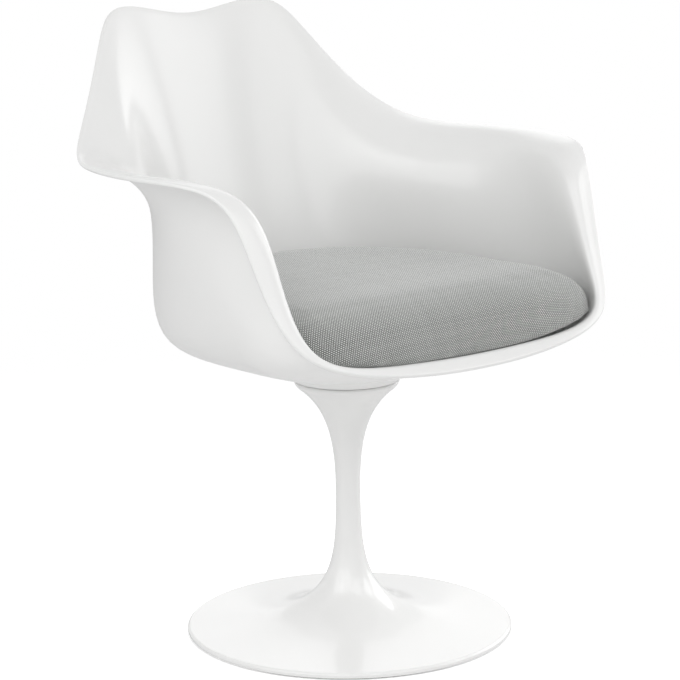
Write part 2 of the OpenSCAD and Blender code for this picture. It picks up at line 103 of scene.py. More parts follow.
# Shape of the cushion's skin: the share of its outline that is flat underneath and that the
# lining closes, how steeply the underside climbs from there, how square the dome's shoulder is,
# where the rings of the underside lie, and the dome's innermost ring and how many it has
FLAT_SHARE = 0.3
HEM_SHARE = 0.6
UNDER_POWER = 1.5
DOME_POWER = 10
UNDER_STEPS = (1, 0.985, 0.96, 0.92, 0.86, 0.78, 0.7, 0.6, 0.5, 0.4, FLAT_SHARE, 0.1)
CROWN_SHARE = 0.04
DOME_RINGS = 40


def linear(hex_code):
    """Linear colour with full alpha from an sRGB hex code."""
    shares = [int(hex_code[i:i + 2], 16) / 255 for i in (0, 2, 4)]
    return [c / 12.92 if c <= 0.04045 else ((c + 0.055) / 1.055) ** 2.4 for c in shares] + [1.0]


class ShellSizes(bpy.types.PropertyGroup):
    """Sizes of the moulded shell"""

    half_width: FloatProperty(
        name="Half width", description="Half of the width that the outline is drawn in",
        default=0.340, unit="LENGTH")
    depth: FloatProperty(
        name="Depth", description="Depth that the outline is drawn in", default=0.590,
        unit="LENGTH")
    rise: FloatProperty(
        name="Rise", description="Height that the outline rises above the hub", default=0.453,
        unit="LENGTH")
    thickness: FloatProperty(
        name="Wall", description="Thickness of the moulded wall", default=0.006, unit="LENGTH")
    hub_radius: FloatProperty(
        name="Hub radius", description="Radius at which the flat hub runs into the seat pan",
        default=0.080, unit="LENGTH")
    hub_hole: FloatProperty(
        name="Hub opening", description="Radius of the round opening in the hub", default=0.058,
        unit="LENGTH")
    steps_round: IntProperty(
        name="Steps round", description="Faces between two stations round the shell", default=8)
    steps_up: IntProperty(
        name="Steps up", description="Faces between two rings up the shell", default=7)
    lip_steps: IntProperty(
        name="Lip steps", description="Faces over the rounded lip", default=8)


class PedestalSizes(bpy.types.PropertyGroup):
    """Sizes of the trumpet pedestal and of the collar above its seam"""

    foot_radius: FloatProperty(
        name="Foot radius", description="Radius of the foot disc", default=0.213, unit="LENGTH")
    foot_edge: FloatProperty(
        name="Foot edge", description="Height of the foot disc's top edge", default=0.0088,
        unit="LENGTH")
    foot_bevel: FloatProperty(
        name="Foot bevel", description="Bevel of the foot disc's top edge", default=0.0024,
        unit="LENGTH")
    foot_lift: FloatProperty(
        name="Foot lift", description="Height of the casting above the floor", default=0.002,
        unit="LENGTH")
    seam_radius: FloatProperty(
        name="Seam radius", description="Radius of the pedestal at the turning seam",
        default=0.0686, unit="LENGTH")
    seam_height: FloatProperty(
        name="Seam height", description="Height of the turning seam", default=0.335,
        unit="LENGTH")
    seam_gap: FloatProperty(
        name="Seam gap", description="Open gap on each side of the seam line", default=0.0004,
        unit="LENGTH")
    edge_round: FloatProperty(
        name="Edge rounding", description="Rounding of the coated edges", default=0.0008,
        unit="LENGTH")
    steps_round: IntProperty(
        name="Steps round", description="Faces round the pedestal", default=160)
    steps_up: IntProperty(
        name="Steps up", description="Faces between two points of the outline", default=9)


class CushionSizes(bpy.types.PropertyGroup):
    """Sizes of the padded seat cushion"""

    rise_share: FloatProperty(
        name="Rise share", default=0.155,
        description="Greatest height of the edge above the flat underside, against the shell's rise")
    band: FloatProperty(
        name="Band", description="Height of the plain band at the edge", default=0.004,
        unit="LENGTH")
    crown: FloatProperty(
        name="Crown", description="Height of the crown above the highest part of the band",
        default=0.045, unit="LENGTH")
    ease: FloatProperty(
        name="Ease", description="How much further out the cover starts than its seam",
        default=0.0025, unit="LENGTH")
    swell: FloatProperty(
        name="Swell", description="Most that a point of the cover may move as it is filled",
        default=0.003, unit="LENGTH")
    settle: IntProperty(
        name="Settling", description="How often the filled cloth is evened out", default=30)
    voxel: FloatProperty(
        name="Mesh size", description="Size of the even mesh that the cover is simulated on",
        default=0.005, unit="LENGTH")
    yarn: FloatProperty(
        name="Basket cell", description="Width of one cell of the basket weave, two yarns wide",
        default=0.0019, unit="LENGTH")


class Finishes(bpy.types.PropertyGroup):
    """Colours of the chair, as linear values"""

    gelcoat: FloatVectorProperty(
        name="Gelcoat", description="Colour of the polished shell", size=4, subtype="COLOR",
        default=linear("F2F2F1"))
    coating: FloatVectorProperty(
        name="Coating", description="Colour of the coated pedestal", size=4, subtype="COLOR",
        default=linear("F5F5F4"))
    weft: FloatVectorProperty(
        name="Weft yarn", description="Colour of the lighter yarns", size=4, subtype="COLOR",
        default=linear("F8FAF7"))
    warp: FloatVectorProperty(
        name="Warp yarn", description="Colour of the darker yarns", size=4, subtype="COLOR",
        default=linear("848784"))


class StageSizes(bpy.types.PropertyGroup):
    """Camera and light"""

    azimuth: FloatProperty(
        name="Azimuth", description="Direction that the camera stands in", unit="ROTATION",
        default=math.radians(-38))
    distance: FloatProperty(
        name="Distance", description="Camera's distance from the swivel axis", default=3.152,
        unit="LENGTH")
    eye_height: FloatProperty(
        name="Eye height", description="Camera's height above the floor", default=1.049,
        unit="LENGTH")
    pitch: FloatProperty(
        name="Pitch", description="How far the camera looks down", unit="ROTATION",
        default=math.radians(11.882))
    yaw: FloatProperty(
        name="Yaw", description="How far the camera looks past the axis", unit="ROTATION",
        default=math.radians(-0.146))
    roll: FloatProperty(
        name="Roll", description="Tilt of the camera", unit="ROTATION",
        default=math.radians(-0.727))
    lens: FloatProperty(
        name="Lens", description="Focal length on a 36 mm wide sensor, in mm", default=132.35)
    floor_reach: FloatProperty(
        name="Floor reach", description="Radius at which the floor has faded into the white",
        default=1.8, unit="LENGTH")
    floor_lift: FloatProperty(
        name="Floor lift", description="Brightness added to the floor that the camera sees",
        default=0.45)
    world_light: FloatProperty(
        name="World light", description="Strength of the even light from all round", default=0.48)


def weights(t):
    """Weights of four neighbouring points of a cubic B-spline at t within their span."""
    return np.array([(1 - t) ** 3, 3 * t ** 3 - 6 * t ** 2 + 4,
                     -3 * t ** 3 + 3 * t ** 2 + 3 * t + 1, t ** 3]) / 6


def slopes(t):
    """Weights of the same four points for the curve's direction."""
    return np.array([-(1 - t) ** 2, 3 * t ** 2 - 4 * t, -3 * t ** 2 + 2 * t + 1, t ** 2]) / 2


def with_ends(points):
    """Points with one more at each end, so that the curve starts and stops on the given ends."""
    points = np.asarray(points, float)
    return np.concatenate([[2 * points[0] - points[1]], points, [2 * points[-1] - points[-2]]])


def smooth_curve(points, steps):
    """Smooth open curve through the frame of the given points."""
    net = with_ends(points)
    spans = len(points) - 1
    places = [(i, k / steps) for i in range(spans) for k in range(steps)] + [(spans - 1, 1.0)]
    return np.array([np.tensordot(weights(t), net[i:i + 4], 1) for i, t in places])


def smooth_loop(points, steps, basis=weights):
    """Smooth closed curve, or with slopes its direction, through the frame of the points."""
    points = np.asarray(points, float)
    spread = [np.tensordot(basis(k / steps), [np.roll(points, 1 - q, 0) for q in range(4)], 1)
              for k in range(steps)]
    return np.stack(spread, 1).reshape(-1, points.shape[1])


def mirrored(half):
    """Closed loop of stations from one side's, back middle to front middle."""
    half = np.asarray(half, float)
    other = half[-2:0:-1].copy()
    other[:, 0] *= -1
    return np.concatenate([half, other])


def unit(vectors):
    """The same directions with a length of one."""
    return vectors / np.linalg.norm(vectors, axis=-1, keepdims=True)


def mesh_object(name, points, faces, smooth_angle=math.pi):
    """A shaded object of its own from points and faces, in metres."""
    mesh = bpy.data.meshes.new(name)
    mesh.from_pydata([tuple(p) for p in points], [], faces)
    mesh.validate()
    built = bmesh.new()
    built.from_mesh(mesh)
    bmesh.ops.recalc_face_normals(built, faces=built.faces)
    built.to_mesh(mesh)
    built.free()
    mesh.shade_smooth()
    if smooth_angle < math.pi:
        mesh.set_sharp_from_angle(angle=smooth_angle)
    piece = bpy.data.objects.new(name, mesh)
    bpy.context.scene.collection.objects.link(piece)
    return piece


def ring_faces(rows, columns, closed):
    """Quads between rings of points that follow one another, round a tube if closed."""
    faces = []
    for r in range(rows if closed else rows - 1):
        for c in range(columns):
            across = (c + 1) % columns
            below = (r + 1) % rows
            faces.append((r * columns + c, r * columns + across,
                          below * columns + across, below * columns + c))
    return faces


def ring_object(name, rings, smooth_angle):
    """Closed solid whose section is a ring, such as a shell with a hole or a lathed tube."""
    rings = np.asarray(rings)
    faces = ring_faces(rings.shape[0], rings.shape[1], True)
    return mesh_object(name, rings.reshape(-1, 3), faces, smooth_angle)


def capped_object(name, rings):
    """Closed solid from rings stacked from one end to the other."""
    rings = np.asarray(rings)
    rows, columns = rings.shape[:2]
    points = np.concatenate([rings.reshape(-1, 3), [rings[0].mean(0), rings[-1].mean(0)]])
    faces = ring_faces(rows, columns, False)
    first, last = rows * columns, rows * columns + 1
    top = (rows - 1) * columns
    for c in range(columns):
        across = (c + 1) % columns
        faces.append((first, across, c))
        faces.append((last, top + c, top + across))
    return mesh_object(name, points, faces)


def lathed(outline, columns):
    """Rings of a closed outline of (radius, height) turned about the swivel axis."""
    turn = np.arange(columns) * 2 * math.pi / columns
    return [np.stack([r * np.sin(turn), r * np.cos(turn), np.full(columns, z)], 1)
            for r, z in outline]


def rounded(piece, width, segments=3):
    """Rounds the piece's sharp edges by width."""
    bevel = piece.modifiers.new("Rounded edges", "BEVEL")
    bevel.width = width
    bevel.segments = segments
    bevel.limit_method = "ANGLE"
    bevel.angle_limit = math.radians(35)
    bevel.harden_normals = True


def add_node(tree, kind, settings=None, inputs=None):
    """Adds a node. An input that is another node's socket is linked, any other is its value."""
    node = tree.nodes.new(kind)
    for name, value in (settings or {}).items():
        setattr(node, name, value)
    for name, value in (inputs or {}).items():
        if isinstance(value, bpy.types.NodeSocket):
            tree.links.new(value, node.inputs[name])
        else:
            node.inputs[name].default_value = value
    return node


def new_material(name, shader_inputs):
    """A material with one principled shader, set as given, and its node tree."""
    material = bpy.data.materials.new(name)
    material.use_nodes = True
    tree = material.node_tree
    shader = tree.nodes["Principled BSDF"]
    for socket, value in shader_inputs.items():
        shader.inputs[socket].default_value = value
    return material, tree, shader


def place(tree):
    """Object coordinates, in metres, which stay with the piece as it turns."""
    return add_node(tree, "ShaderNodeTexCoord").outputs["Object"]


def mottled(tree, shader, grain, colours, roughness, bump, detail=3.0):
    """Noise of a real grain size that varies colour and roughness a little and lifts the surface.
    Colours are hex codes and roughness values, each for the low and the high parts."""
    noise = add_node(tree, "ShaderNodeTexNoise", inputs={
        "Vector": place(tree), "Scale": 1 / grain, "Detail": detail}).outputs["Fac"]
    tone = add_node(tree, "ShaderNodeValToRGB", inputs={"Fac": noise})
    for stop, colour, at in zip(tone.color_ramp.elements, colours, (0.35, 0.65)):
        stop.color = linear(colour)
        stop.position = at
    tree.links.new(tone.outputs["Color"], shader.inputs["Base Color"])
    rough = add_node(tree, "ShaderNodeMapRange", inputs={
        "Value": noise, "To Min": roughness[0], "To Max": roughness[1]})
    tree.links.new(rough.outputs["Result"], shader.inputs["Roughness"])
    lift = add_node(tree, "ShaderNodeBump", inputs={
        "Strength": 1.0, "Distance": bump, "Height": noise})
    tree.links.new(lift.outputs["Normal"], shader.inputs["Normal"])


def polished_gelcoat(finish):
    """Glass-fibre shell in white gelcoat, moulded and polished: long soft reflections, a little
    duller where it was rubbed less."""
    patch = 60 * MM
    material, tree, shader = new_material("Polished gelcoat", {
        "Base Color": finish.gelcoat, "IOR": 1.5, "Coat Weight": 0.6, "Coat Roughness": 0.16})
    rubbed = add_node(tree, "ShaderNodeTexNoise", inputs={
        "Vector": place(tree), "Scale": 1 / patch, "Detail": 2.0}).outputs["Fac"]
    rough = add_node(tree, "ShaderNodeMapRange", inputs={
        "Value": rubbed, "To Min": 0.30, "To Max": 0.34})
    tree.links.new(rough.outputs["Result"], shader.inputs["Roughness"])
    return material


def coated_casting(finish):
    """Cast aluminium, turned, sprayed white and polished: a clear coat that softly mirrors the
    stem in the foot, over the faint orange peel of the spray."""
    grain, depth = 1.6 * MM, 0.003 * MM
    material, tree, shader = new_material("Coated casting", {
        "Base Color": finish.coating, "IOR": 1.5, "Roughness": 0.3,
        "Coat Weight": 0.9, "Coat Roughness": 0.1})
    peel = add_node(tree, "ShaderNodeTexNoise", inputs={
        "Vector": place(tree), "Scale": 1 / grain, "Detail": 1.0}).outputs["Fac"]
    lift = add_node(tree, "ShaderNodeBump", inputs={"Distance": depth, "Height": peel})
    tree.links.new(lift.outputs["Normal"], shader.inputs["Normal"])
    return material


def plated_steel():
    """Zinc-plated mild steel: bright, slightly blue grey with a fine turned grain."""
    material, tree, shader = new_material("Zinc-plated steel", {"Metallic": 1.0})
    mottled(tree, shader, grain=0.8 * MM, colours=("A9ACB0", "C6C8CB"), roughness=(0.28, 0.42),
            bump=0.01 * MM)
    return material


def bearing_steel():
    """Ground and hardened bearing steel: mirror-bright with a hint of grey."""
    material, tree, shader = new_material("Ground bearing steel", {"Metallic": 1.0})
    mottled(tree, shader, grain=0.5 * MM, colours=("BFC1C3", "D2D3D5"), roughness=(0.10, 0.18),
            bump=0.002 * MM)
    return material


def cage_brass():
    """Pressed brass sheet: warm yellow with dull, oily patches."""
    material, tree, shader = new_material("Pressed brass", {"Metallic": 1.0})
    mottled(tree, shader, grain=4 * MM, colours=("A88442", "C9A55C"), roughness=(0.25, 0.45),
            bump=0.01 * MM)
    return material


def turned_nylon():
    """Turned natural nylon: waxy ivory that lets a little light in."""
    material, tree, shader = new_material("Turned nylon", {
        "IOR": 1.53, "Subsurface Weight": 0.1, "Subsurface Scale": 1.5 * MM})
    mottled(tree, shader, grain=3 * MM, colours=("DDD7C2", "E8E3D2"), roughness=(0.4, 0.5),
            bump=0.01 * MM)
    return material


def glide_plastic():
    """Moulded grey polyethylene, scuffed by the floor to a dull face."""
    material, tree, shader = new_material("Scuffed polyethylene", {"IOR": 1.5})
    mottled(tree, shader, grain=1.2 * MM, colours=("9A9B9A", "B1B2B0"), roughness=(0.55, 0.75),
            bump=0.03 * MM, detail=6.0)
    return material


def board_plywood():
    """Birch plywood: pale wood with long, slightly wavy grain along the depth."""
    fibre, lengthwise = 3 * MM, 0.12
    material, tree, shader = new_material("Birch plywood", {"IOR": 1.5, "Roughness": 0.7})
    stretch = add_node(tree, "ShaderNodeMapping", inputs={
        "Vector": place(tree), "Scale": (1.0, lengthwise, 1.0)}).outputs["Vector"]
    grain = add_node(tree, "ShaderNodeTexNoise", inputs={
        "Vector": stretch, "Scale": 1 / fibre, "Detail": 5.0}).outputs["Fac"]
    tone = add_node(tree, "ShaderNodeValToRGB", inputs={"Fac": grain})
    tone.color_ramp.elements[0].color = linear("B8966B")
    tone.color_ramp.elements[1].color = linear("DCC39B")
    tree.links.new(tone.outputs["Color"], shader.inputs["Base Color"])
    return material


def pad_nylon(name, dark, light, tuft):
    """Hook or loop tape: dull woven nylon with a nap of small tufts."""
    material, tree, shader = new_material(name, {"Sheen Weight": 0.3})
    mottled(tree, shader, grain=tuft, colours=(dark, light), roughness=(0.8, 0.95),
            bump=0.4 * MM, detail=6.0)
    return material


def lining_cloth():
    """Spun-bonded underlining: thin dark felt with small pressed dots."""
    pitch, depth = 2 * MM, 0.3 * MM
    material, tree, shader = new_material("Spun-bonded lining", {"Roughness": 0.95})
    dots = add_node(tree, "ShaderNodeTexVoronoi", inputs={
        "Vector": place(tree), "Scale": 1 / pitch, "Randomness": 0.1}).outputs["Distance"]
    tone = add_node(tree, "ShaderNodeValToRGB", inputs={"Fac": dots})
    tone.color_ramp.elements[0].color = linear("1E1F21")
    tone.color_ramp.elements[1].color = linear("3A3B3D")
    tree.links.new(tone.outputs["Color"], shader.inputs["Base Color"])
    lift = add_node(tree, "ShaderNodeBump", inputs={"Distance": depth, "Height": dots})
    tree.links.new(lift.outputs["Normal"], shader.inputs["Normal"])
    return material


def basket_cloth(finish, cell):
    """Basket-woven upholstery cloth in two greys: light and dark cells, each a pair of yarns that
    dips under its neighbours, over a slow change of tone. The pits between the cells carry painted
    shade, and a painted sheen lifts it where the cloth is seen from the side."""
    wander_grain, wander_reach = 25 * MM, 0.8 * MM
    cloud_grain = 4 * MM
    # The second of these sets where the painted shade of the pits ends on each cell's pillow
    pillow_part, pit_shade_edge, relief = 0.75, 0.75, 0.5 * MM
    weave_tone, yarn_tone, cloud_tone = 0.7, 0.08, 0.14
    material, tree, shader = new_material("Basket-woven cloth", {
        "Roughness": 0.9, "Sheen Weight": 1.0, "Sheen Roughness": 0.4})

    def math_node(operation, a, b=0.0):
        node = add_node(tree, "ShaderNodeMath", {"operation": operation})
        for socket, value in zip(node.inputs, (a, b)):
            if isinstance(value, bpy.types.NodeSocket):
                tree.links.new(value, socket)
            else:
                socket.default_value = value
        return node.outputs[0]

    where = add_node(tree, "ShaderNodeAttribute", {"attribute_name": "cloth_place"})
    wander = add_node(tree, "ShaderNodeTexNoise", inputs={
        "Vector": where.outputs["Vector"], "Scale": 1 / wander_grain, "Detail": 2.0})
    shifted = add_node(tree, "ShaderNodeVectorMath", {"operation": "MULTIPLY_ADD"})
    tree.links.new(wander.outputs["Color"], shifted.inputs[0])
    shifted.inputs[1].default_value = (wander_reach, wander_reach, 0)
    tree.links.new(where.outputs["Vector"], shifted.inputs[2])
    split = add_node(tree, "ShaderNodeSeparateXYZ", inputs={"Vector": shifted.outputs[0]})
    across = math_node("DIVIDE", split.outputs["X"], cell)
    along = math_node("DIVIDE", split.outputs["Y"], cell)
    arch = [math_node("ABSOLUTE", math_node("SINE", math_node("MULTIPLY", way, math.pi)))
            for way in (across, along)]
    steps = math_node("ADD", math_node("FLOOR", across), math_node("FLOOR", along))
    on_top = math_node("ABSOLUTE", math_node("MODULO", steps, 2.0))
    pillow = math_node("MULTIPLY", arch[0], arch[1])
    # The two yarns of a cell part in the middle, across the yarns that lie on top
    double = [math_node("ABSOLUTE", math_node("SINE", math_node("MULTIPLY", way, 2 * math.pi)))
              for way in (across, along)]
    weft_ribs = math_node("MULTIPLY", double[1], on_top)
    warp_ribs = math_node("MULTIPLY", double[0], math_node("SUBTRACT", 1.0, on_top))
    ribs = math_node("ADD", weft_ribs, warp_ribs)
    height = math_node("ADD", math_node("MULTIPLY", pillow, pillow_part),
                       math_node("MULTIPLY", ribs, 1 - pillow_part))
    cloud = add_node(tree, "ShaderNodeTexNoise", inputs={
        "Vector": where.outputs["Vector"], "Scale": 1 / cloud_grain,
        "Detail": 4.0}).outputs["Fac"]
    # No two yarns are spun alike, so each row and each column of cells has a tone of its own
    spun = [add_node(tree, "ShaderNodeTexWhiteNoise", {"noise_dimensions": "1D"}, {
        "W": math_node("FLOOR", way)}).outputs["Value"] for way in (across, along)]
    tones = [math_node("MULTIPLY", way, yarn_tone) for way in spun]
    mixed = math_node("ADD", math_node("ADD", *tones), math_node("MULTIPLY", cloud, cloud_tone))
    lightness = math_node("ADD", math_node("MULTIPLY", on_top, weave_tone), mixed)
    yarns = add_node(tree, "ShaderNodeMix", {"data_type": "RGBA"})
    tree.links.new(lightness, yarns.inputs[0])
    yarns.inputs[6].default_value = finish.warp
    yarns.inputs[7].default_value = finish.weft
    # Painted shade darkens the pits between the cells. A painted sheen, read from the angle at which
    # the cloth is seen, lifts that shade where the cloth is seen from the side, so the cushion's top
    # reads lighter than its front
    painted_sheen = add_node(tree, "ShaderNodeLayerWeight", inputs={"Blend": 0.4}).outputs["Facing"]
    painted_pit_shade = add_node(tree, "ShaderNodeMapRange", inputs={
        "Value": pillow, "From Max": pit_shade_edge, "To Min": painted_sheen, "To Max": 1.0})
    # Painted shade: the yarns' colour is scaled down in the pits
    yarns_with_painted_shade = add_node(tree, "ShaderNodeVectorMath", {"operation": "SCALE"})
    tree.links.new(yarns.outputs[2], yarns_with_painted_shade.inputs[0])
    tree.links.new(painted_pit_shade.outputs["Result"], yarns_with_painted_shade.inputs["Scale"])
    tree.links.new(yarns_with_painted_shade.outputs[0], shader.inputs["Base Color"])
    lift = add_node(tree, "ShaderNodeBump", inputs={
        "Strength": 0.8, "Distance": relief, "Height": height})
    tree.links.new(lift.outputs["Normal"], shader.inputs["Normal"])
    return material


def wear(piece, *materials):
    """Gives the piece these materials, one in each slot."""
    piece.data.materials.clear()
    for material in materials:
        piece.data.materials.append(material)


def cushion_outline(shell, cushion, steps):
    """Points round the cushion's edge from the middle of the back: (x, y, height of the edge above
    the flat underside)."""
    span = (shell.half_width, shell.depth, cushion.rise_share * shell.rise)
    return smooth_loop(mirrored(np.array(CUSHION_SHARES) * span), steps)


def cushion_rings(outline, shell, cushion, ease=0.0):
    """Rings of the cushion's skin from the crown's middle over the edge to the flat underside."""
    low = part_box("cushion_underlining")[0].z
    crown = low + cushion.rise_share * shell.rise + cushion.band + cushion.crown
    edge = low + outline[:, 2] + cushion.band
    plan = outline[:, :2] * (1 + ease / np.linalg.norm(outline[:, :2], axis=1, keepdims=True))
    rings = []
    for share in np.sin(np.linspace(CROWN_SHARE, math.pi / 2, DOME_RINGS)):
        lift = (1 - share ** DOME_POWER) ** 0.5
        rings.append(np.column_stack([share * plan, edge + (crown - edge) * lift]))
    for share in UNDER_STEPS:
        lift = max(0.0, (share - FLAT_SHARE) / (1 - FLAT_SHARE)) ** UNDER_POWER
        rings.append(np.column_stack([share * plan, low + outline[:, 2] * lift]))
    return np.array(rings)


def cloth_places(points, shell, cushion):
    """Where each point of the cover lies on the flat cloth, measured over the cushion's surface
    from the middle of its crown."""
    rings = cushion_rings(cushion_outline(shell, cushion, steps=24), shell, cushion)
    bearing = np.arctan2(rings[-1, :, 0], rings[-1, :, 1])
    order = np.argsort(bearing)
    turn = np.arctan2(points[:, 0], points[:, 1])
    reach = np.hypot(rings[..., 0], rings[..., 1])

    def towards(values):
        return np.stack([np.interp(turn, bearing[order], row[order], period=2 * math.pi)
                         for row in values], 1)

    radius, height = towards(reach), towards(rings[..., 2])
    step_out, step_up = np.gradient(radius, axis=1), np.gradient(height, axis=1)
    lengths = np.hypot(np.diff(radius, axis=1), np.diff(height, axis=1))
    travelled = np.concatenate([radius[:, :1], radius[:, :1] + np.cumsum(lengths, 1)], 1)
    out, up = np.hypot(points[:, 0], points[:, 1]), points[:, 2]
    near = np.argmin((radius - out[:, None]) ** 2 + (height - up[:, None]) ** 2, 1)
    row = np.arange(len(points))
    tangent = unit(np.stack([step_out[row, near], step_up[row, near]], 1))
    slip = (out - radius[row, near]) * tangent[:, 0] + (up - height[row, near]) * tangent[:, 1]
    run = travelled[row, near] + slip
    return np.stack([run * np.sin(turn), run * np.cos(turn), np.zeros(len(points))], 1)


def points_of(mesh):
    """The mesh's points as rows of an array."""
    flat = np.empty(len(mesh.vertices) * 3)
    mesh.vertices.foreach_get("co", flat)
    return flat.reshape(-1, 3)


def hold_underside(cover, outline):
    """Marks the part of the cover that lies below its edge, which the board holds."""
    points = points_of(cover.data)
    bearing = np.arctan2(outline[:, 0], outline[:, 1])
    order = np.argsort(bearing)
    edge = np.interp(np.arctan2(points[:, 0], points[:, 1]), bearing[order], outline[order, 2],
                     period=2 * math.pi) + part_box("cushion_underlining")[0].z
    board = cover.vertex_groups.new(name="Held by the board")
    board.add([int(i) for i in np.flatnonzero(points[:, 2] < edge)], 1.0, "REPLACE")
    return board.name


def fill_cover(cover, held, swell):
    """Blows the cover up as cloth over its filling, but for the group that the board holds, and
    keeps every point within the swell."""
    last_frame, tiny = 20, 1e-9
    start = points_of(cover.data)
    cloth = cover.modifiers.new("Filling", "CLOTH")
    cloth.settings.quality = 6
    cloth.settings.effector_weights.gravity = 0
    cloth.settings.use_pressure = True
    cloth.settings.uniform_pressure_force = 4
    cloth.settings.vertex_group_mass = held
    cloth.collision_settings.use_self_collision = False
    scene = bpy.context.scene
    for frame_number in range(1, last_frame + 1):
        scene.frame_set(frame_number)
    filled = cover.evaluated_get(bpy.context.evaluated_depsgraph_get())
    moved = points_of(filled.to_mesh()) - start
    filled.to_mesh_clear()
    cover.modifiers.remove(cloth)
    scene.frame_set(1)
    far = np.linalg.norm(moved, axis=1, keepdims=True)
    moved *= np.minimum(1, swell / np.maximum(far, tiny))
    cover.data.vertices.foreach_set("co", (start + moved).ravel())
    cover.data.update()


def apply_modifiers(piece):
    """Replaces the piece's mesh by what its modifiers make of it."""
    done = bpy.data.meshes.new_from_object(
        piece.evaluated_get(bpy.context.evaluated_depsgraph_get()))
    piece.modifiers.clear()
    piece.data = done


class ARMCHAIR_OT_shell(bpy.types.Operator):
    """Moulds the seat shell with both arms and its rounded lip"""

    bl_idname = "armchair.shell"
    bl_label = "Moulded shell"

    def execute(self, context):
        sizes = context.scene.armchair_shell
        flat_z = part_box("hub_plate")[0].z + sizes.thickness
        turns = np.radians(STATION_ANGLES)

        def hub_ring(radius):
            return np.stack([radius * np.sin(turns), radius * np.cos(turns),
                             np.full(len(turns), flat_z)], 1)

        span = np.array([sizes.half_width, sizes.depth, sizes.rise])
        hub = (0, 0, flat_z)
        rings = [hub_ring(sizes.hub_radius)] + [hub + np.array(shares) * span for shares in (
            PAN_SHARES, TURN_SHARES, WALL_SHARES, UPPER_SHARES, FOLD_SHARES, RIM_SHARES)]
        loops = [mirrored(ring) for ring in with_ends(rings)]
        spots = np.array([smooth_loop(loop, sizes.steps_round) for loop in loops])
        along = np.array([smooth_loop(loop, sizes.steps_round, slopes) for loop in loops])
        spans = len(rings) - 1
        places = [(j, k / sizes.steps_up) for j in range(spans) for k in range(sizes.steps_up)]
        inner, outer = [], []
        for j, t in places + [(spans - 1, 1.0)]:
            spot = np.tensordot(weights(t), spots[j:j + 4], 1)
            round_way = np.tensordot(weights(t), along[j:j + 4], 1)
            outward = np.tensordot(slopes(t), spots[j:j + 4], 1)
            normal = unit(np.cross(outward, round_way))
            inner.append(spot)
            outer.append(spot + sizes.thickness * normal)
        # The lip is a half round that ends where the wall does
        lip_way = unit(outward)
        half = sizes.thickness / 2
        middle = (inner[-1] + outer[-1]) / 2 - half * lip_way
        side = inner[-1] - middle - half * lip_way
        lip = [middle + math.cos(turn) * side + half * math.sin(turn) * lip_way
               for turn in np.linspace(0, math.pi, sizes.lip_steps + 1)]
        hole = smooth_loop(mirrored(hub_ring(sizes.hub_hole)), sizes.steps_round)
        under = hole - (0, 0, sizes.thickness)
        shell = ring_object("moulded_shell", [hole] + inner[:-1] + lip + outer[-2::-1] + [under],
                            smooth_angle=math.radians(50))
        wear(shell, polished_gelcoat(context.scene.armchair_finish))
        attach(shell, "seat")
        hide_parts("seat_shell")
        return {"FINISHED"}


class ARMCHAIR_OT_cushion(bpy.types.Operator):
    """Fills the seat cushion's cloth cover and closes it with its underlining"""

    bl_idname = "armchair.cushion"
    bl_label = "Seat cushion"

    def execute(self, context):
        shell = context.scene.armchair_shell
        cushion = context.scene.armchair_cushion
        outline = cushion_outline(shell, cushion, steps=8)
        cover = capped_object("seat_cushion", cushion_rings(outline, shell, cushion, cushion.ease))
        even = cover.modifiers.new("Even mesh", "REMESH")
        even.mode = "VOXEL"
        even.voxel_size = cushion.voxel
        apply_modifiers(cover)
        held = hold_underside(cover, outline)
        fill_cover(cover, held, cushion.swell)
        settle = cover.modifiers.new("Settled cloth", "SMOOTH")
        settle.factor = 0.5
        settle.iterations = cushion.settle
        settle.vertex_group = held
        settle.invert_vertex_group = True
        finer = cover.modifiers.new("Finer cloth", "SUBSURF")
        finer.levels = finer.render_levels = 1
        apply_modifiers(cover)
        cover.data.shade_smooth()
        points = points_of(cover.data)
        spread = cover.data.attributes.new("cloth_place", "FLOAT_VECTOR", "POINT")
        spread.data.foreach_set("vector", cloth_places(points, shell, cushion).ravel())
        wear(cover, basket_cloth(context.scene.armchair_finish, cushion.yarn), lining_cloth())
        # The cloth is turned under and hemmed, and the lining closes what it leaves open
        hem = HEM_SHARE * np.hypot(outline[:, 0], outline[:, 1]).min()
        lining_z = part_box("cushion_underlining")[1].z
        for face in cover.data.polygons:
            x, y, z = face.center
            if z < lining_z and face.normal.z < 0 and math.hypot(x, y) < hem:
                face.material_index = 1
        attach(cover, "seat")
        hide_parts("cushion_cover", "cushion_foam", "cushion_underlining")
        return {"FINISHED"}


